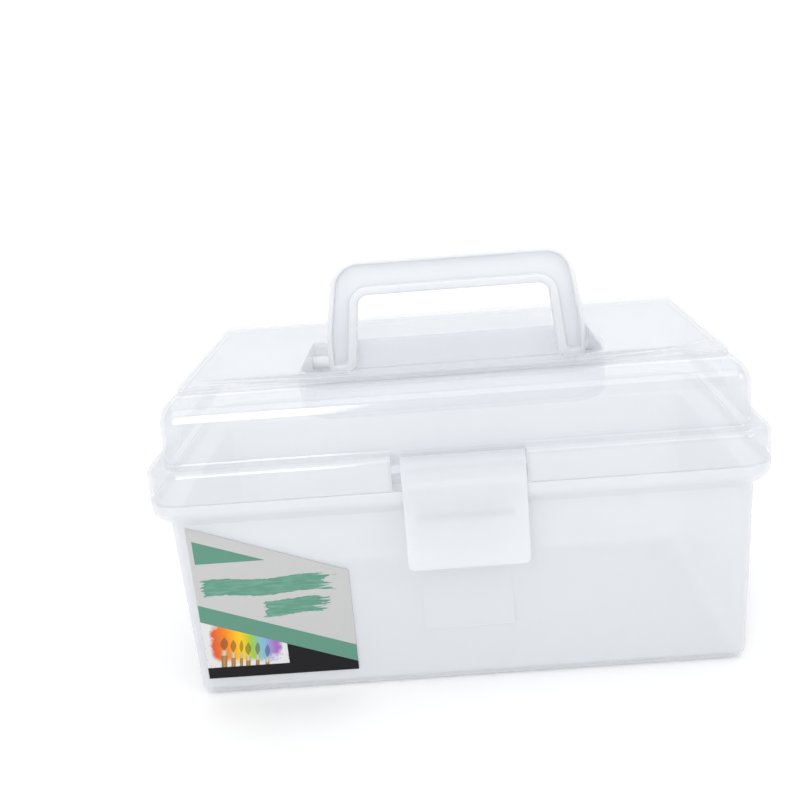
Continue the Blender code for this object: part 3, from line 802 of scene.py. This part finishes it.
def label_print():
    """Coated paper, printed with a flag, a slanted band, two brush strokes and a paint picture."""
    g = Graph("printed_label")
    place = g.add("ShaderNodeSeparateXYZ", {"Vector": g.place()})
    across = g.math("MULTIPLY", g.math("SUBTRACT", place.outputs["X"], LABEL_LOW.x), 1000.0)
    up = g.math("MULTIPLY", g.math("SUBTRACT", place.outputs["Z"], LABEL_LOW.z), 1000.0)

    def sloped(start, slope):
        return g.math("MULTIPLY_ADD", across, slope, start)

    blotch = g.noise(240.0, 3.0)
    colour = g.mix(g.spread(blotch, 0.3, 0.7, 0, 0.06), PAPER, PAPER_BLOTCH)

    # Flag
    flag = g.both(g.over(up, FLAG_FOOT), g.over(sloped(*FLAG_TOP), up), g.over(across, FLAG_LEFT))
    colour = g.mix(flag, colour, TEAL)

    # Two brush strokes with dry, ragged ends
    ragged = g.spread(g.noise(420.0, 4.0, 0.7), 0.3, 0.7, -1.1, 1.1)
    bristle_place = g.add("ShaderNodeMapping", {"Vector": g.place(), "Scale": (0.12, 1.0, 1.0)})
    bristles = g.noise(900.0, 2.0, 0.6, bristle_place.outputs[0])
    wave = g.math("MULTIPLY", g.math("SINE", g.math("MULTIPLY", across, 0.16)), 0.7)
    height = g.math("SUBTRACT", up, wave)
    height = g.math("ADD", height, g.math("MULTIPLY", ragged, 0.35))
    dry = g.spread(bristles, 0.35, 0.65, -5.0, 5.0)
    start = g.math("ADD", across, g.math("MULTIPLY", dry, 0.3))
    end = g.math("ADD", across, g.math("MULTIPLY", dry, 0.8))
    paint = g.mix(g.spread(bristles, 0.4, 0.7, 0, 0.35), TEAL, DRY_TEAL)
    for left, right, low, high in STROKES:
        rows = (g.over(height, low), g.over(high, height))
        stroke = g.both(*rows, g.over(start, left), g.over(right, end))
        colour = g.mix(stroke, colour, paint)

    # Picture of paint, black corner and foot, and the band above them
    below_band = g.over(sloped(*BAND_FOOT), up)
    picture = g.both(below_band, g.over(up, PICTURE_FOOT), g.over(PICTURE_RIGHT, across))
    colour = g.mix(picture, colour, paint_picture(g, across, up))
    colour = g.mix(g.both(below_band, g.over(across, PICTURE_RIGHT)), colour, BLACK)
    colour = g.mix(g.over(PICTURE_FOOT, up), colour, BLACK)
    band = g.both(g.over(up, sloped(*BAND_FOOT)), g.over(sloped(*BAND_TOP), up))
    colour = g.mix(band, colour, TEAL)

    normal = g.add("ShaderNodeNewGeometry").outputs["Normal"]
    facing_back = g.over(g.add("ShaderNodeSeparateXYZ", {"Vector": normal}).outputs["Y"], 0.5)
    colour = g.mix(facing_back, colour, PAPER_BACK)
    fibres = g.noise(1500.0, 3.0)
    shader = g.add(
        "ShaderNodeBsdfPrincipled",
        {
            "Base Color": colour,
            "Roughness": g.spread(blotch, 0.3, 0.7, 0.34, 0.44),
            "Specular IOR Level": 0.06,
            "Normal": g.bump(fibres, 0.08, 0.0001),
        },
    )
    return g.finish(shader.outputs[0])


# The picture, in the same millimetres. A brush is (foot, half width, top).
BRUSHES = (
    (7.3, 1.25, 20.2),
    (11.3, 0.95, 18.8),
    (14.8, 0.65, 18.4),
    (17.8, 1.0, 17.0),
    (21.9, 0.8, 16.9),
    (26.2, 0.85, 15.4),
)
BRUSH_HEAD = 6.5
BRUSH_FERRULE = 2.6
BRUSH_LEAN = 0.13
BRUSH_HEAD_OVERLAP = 0.2
PAINT_SPAN = (3.0, 34.0)
PAINT_CENTRE = (18.0, 17.5)
PAINT_HALF_SIZE = (15.5, 10.5)
PAINT_STOPS = (
    (0.0, (0.60, 0.08, 0.04, 1)),
    (0.22, (0.78, 0.22, 0.03, 1)),
    (0.42, (0.85, 0.52, 0.02, 1)),
    (0.58, (0.30, 0.50, 0.06, 1)),
    (0.74, (0.20, 0.42, 0.62, 1)),
    (0.90, (0.36, 0.14, 0.46, 1)),
)
PAINT_PAPER = (0.66, 0.66, 0.66, 1)
WOOD = (0.42, 0.24, 0.09, 1)
METAL = (0.62, 0.55, 0.40, 1)
DARK = (0.05, 0.03, 0.04, 1)


def paint_picture(g, across, up):
    """Clouds of watercolour from red to violet, with splashes and a row of brushes."""
    ramp = g.add("ShaderNodeValToRGB", {"Fac": g.spread(across, *PAINT_SPAN, 0, 1)})
    ramp.color_ramp.elements[0].color = PAINT_STOPS[0][1]
    for at, colour in PAINT_STOPS[1:-1]:
        ramp.color_ramp.elements.new(at).color = colour
    last = ramp.color_ramp.elements[-1]
    last.position, last.color = PAINT_STOPS[-1]
    cloud = g.noise(260.0, 5.0, 0.65)
    far_across = g.math("DIVIDE", g.gap(across, PAINT_CENTRE[0]), PAINT_HALF_SIZE[0])
    far_up = g.math("DIVIDE", g.gap(up, PAINT_CENTRE[1]), PAINT_HALF_SIZE[1])
    far = g.math("ADD", g.math("POWER", far_up, 2.4), g.math("POWER", far_across, 6.0))
    wet = g.spread(g.math("SUBTRACT", g.math("MULTIPLY", cloud, 1.9), far), -0.25, 0.35, 0, 1)
    specks = g.add("ShaderNodeTexVoronoi", {"Scale": 620.0, "Vector": g.place(), "Randomness": 1.0})
    drops = g.over(0.17, specks.outputs["Distance"])
    wet = g.math("MAXIMUM", wet, g.math("MULTIPLY", drops, 0.75))
    picture = g.mix(wet, PAINT_PAPER, ramp.outputs[0])
    wet_bristle = g.mix(0.55, ramp.outputs[0], DARK)
    for foot, half_width, top in BRUSHES:
        head_foot = top - BRUSH_HEAD
        axis = g.math("MULTIPLY_ADD", g.math("SUBTRACT", up, PICTURE_FOOT), BRUSH_LEAN, foot)
        off = g.gap(across, axis)
        rise = g.math("DIVIDE", g.math("SUBTRACT", up, head_foot), BRUSH_HEAD)
        bulge = g.math("MULTIPLY", g.math("SINE", g.math("MULTIPLY", rise, pi)), half_width * 1.35)
        on_handle = g.both(g.over(half_width, off), g.over(head_foot, up))
        in_height = g.both(g.over(up, head_foot - BRUSH_HEAD_OVERLAP), g.over(top, up))
        on_head = g.both(g.over(bulge, off), in_height)
        shaft = g.mix(g.over(up, head_foot - BRUSH_FERRULE), WOOD, METAL)
        shade = g.spread(off, 0, half_width, 0.0, 0.5)
        picture = g.mix(on_handle, picture, g.mix(shade, shaft, DARK))
        picture = g.mix(on_head, picture, wet_bristle)
    return picture


# ---------------------------------------------------------------- stage

FLOOR_DROP = 0.0002
FLOOR_HALF_X = 5.0
FLOOR_PROFILE = [(-3.0, 0.0, 0.0), (2.6, 0.0, 1.2), (2.6, 4.0, 0.0)]
FLOOR_TONES = ((0.955, 0.955, 0.955, 1), (0.965, 0.965, 0.965, 1))

# Name, place, aim, size and power of each light
LIGHTS = (
    ("key_softbox", (-0.37, -1.45, 0.66), (0, 0, 0.12), (0.34, 0.84), 5),
    ("right_softbox", (1.10, -0.90, 0.90), (0, 0, 0.09), (0.5, 0.5), 2),
    ("top_softbox", (0.0, 0.3, 2.0), (0, 0, 0.1), (2.2, 2.2), 9.5),
    ("front_softbox", (0.0, -1.2, 1.7), (0, -0.4, 0), (1.6, 0.8), 4.5),
    ("backdrop_softbox", (0.0, 1.0, 2.4), (0, 2.6, 1.2), (3.0, 0.8), 11),
)
WORLD_COLOUR = (0.975, 0.985, 1.0, 1)
WORLD_STRENGTH = 0.80


def add_area(name, at, aim, size, power):
    light = bpy.data.lights.new(name, "AREA")
    light.shape = "RECTANGLE"
    light.size, light.size_y = size
    light.energy = power
    obj = bpy.data.objects.new(name, light)
    obj.location = at
    obj.rotation_euler = (Vector(aim) - Vector(at)).to_track_quat("-Z", "Y").to_euler()
    bpy.context.scene.collection.objects.link(obj)


def build_stage():
    """A pale floor that sweeps up behind the box, soft lights, and a pale surrounding."""
    profile = rounded_path(FLOOR_PROFILE)
    bm = bmesh.new()
    rows = []
    for x in (-FLOOR_HALF_X, FLOOR_HALF_X):
        rows.append([bm.verts.new((x, y, z - FLOOR_DROP)) for y, z in profile])
    for i in range(len(profile) - 1):
        bm.faces.new((rows[0][i], rows[1][i], rows[1][i + 1], rows[0][i + 1]))
    floor = make_object("floor", bm)
    floor.data.shade_smooth()
    g = Graph("pale_floor")
    tone = g.mix(g.spread(g.noise(3.0, 2.0), 0.3, 0.7, 0, 1), *FLOOR_TONES)
    shader = g.add("ShaderNodeBsdfPrincipled", {"Base Color": tone, "Roughness": 0.75})
    floor.data.materials.append(g.finish(shader.outputs[0]))

    for light in LIGHTS:
        add_area(*light)
    world = bpy.data.worlds.new("studio")
    world.use_nodes = True
    background = world.node_tree.nodes["Background"]
    background.inputs["Color"].default_value = WORLD_COLOUR
    background.inputs["Strength"].default_value = WORLD_STRENGTH
    bpy.context.scene.world = world
    bpy.context.scene.view_settings.view_transform = "Standard"
    bpy.context.scene.cycles.transparent_max_bounces = 32


CAMERA_AIM = Vector((-0.00836, 0.0, 0.09470))
CAMERA_DISTANCE = 0.50155
CAMERA_AZIMUTH = radians(0.960)
CAMERA_ELEVATION = radians(17.654)
CAMERA_ROLL = radians(-4.405)
CAMERA_LENS = 47.305
CAMERA_SHIFT = (-0.0481, 0.0363)


def build_camera():
    camera = bpy.data.cameras.new("camera")
    camera.lens = CAMERA_LENS
    camera.shift_x, camera.shift_y = CAMERA_SHIFT
    camera.clip_start = 0.01
    obj = bpy.data.objects.new("camera", camera)
    away = Vector((sin(CAMERA_AZIMUTH), -cos(CAMERA_AZIMUTH), 0)) * cos(CAMERA_ELEVATION)
    away.z = sin(CAMERA_ELEVATION)
    aimed = (-away).to_track_quat("-Z", "Y").to_matrix().to_4x4()
    turn = aimed @ Matrix.Rotation(CAMERA_ROLL, 4, "Z")
    obj.matrix_world = Matrix.Translation(CAMERA_AIM + away * CAMERA_DISTANCE) @ turn
    bpy.context.scene.collection.objects.link(obj)
    bpy.context.scene.camera = obj


# ---------------------------------------------------------------- assembly


def place_piece(piece, node, body, material):
    piece.data.materials.clear()
    piece.data.materials.append(material)
    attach(piece, body)
    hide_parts(node)


# Name, tint, milk, edge milk, roughness and IOR of each plastic
TUB_PLASTIC = ("milky_tub_plastic", (0.855, 0.865, 0.885), 0.44, 0.80, 0.24, 1.50)
LID_PLASTIC = ("clear_lid_plastic", (0.865, 0.872, 0.89), 0.29, 0.62, 0.11, 1.90)
BOW_PLASTIC = ("milky_handle_plastic", (0.83, 0.84, 0.86), 0.90, 0.95, 0.30, 1.45)
LATCH_PLASTIC = ("milky_latch_plastic", (0.87, 0.88, 0.90), 0.40, 0.80, 0.20, 1.55)


def main():
    build_camera()
    build_stage()
    tub_plastic = plastic(*TUB_PLASTIC)
    lid_plastic = plastic(*LID_PLASTIC, painted_crease_shade=True)
    bow_plastic = plastic(*BOW_PLASTIC, inner_glow=1.0)
    latch_plastic = plastic(*LATCH_PLASTIC)
    place_piece(build_tub(), "base_tub", "tub", tub_plastic)
    place_piece(build_lid(), "lid", "lid", lid_plastic)
    place_piece(build_handle(), "carry_handle", "handle", bow_plastic)
    place_piece(build_latch(), "front_latch", "latch", latch_plastic)
    for node in ("hinge_pin_left", "hinge_pin_right"):
        place_piece(build_pin(node), node, "tub", bow_plastic)
    label = frame["nodes"]["front_label"]
    label.data.materials.clear()
    label.data.materials.append(label_print())


main()
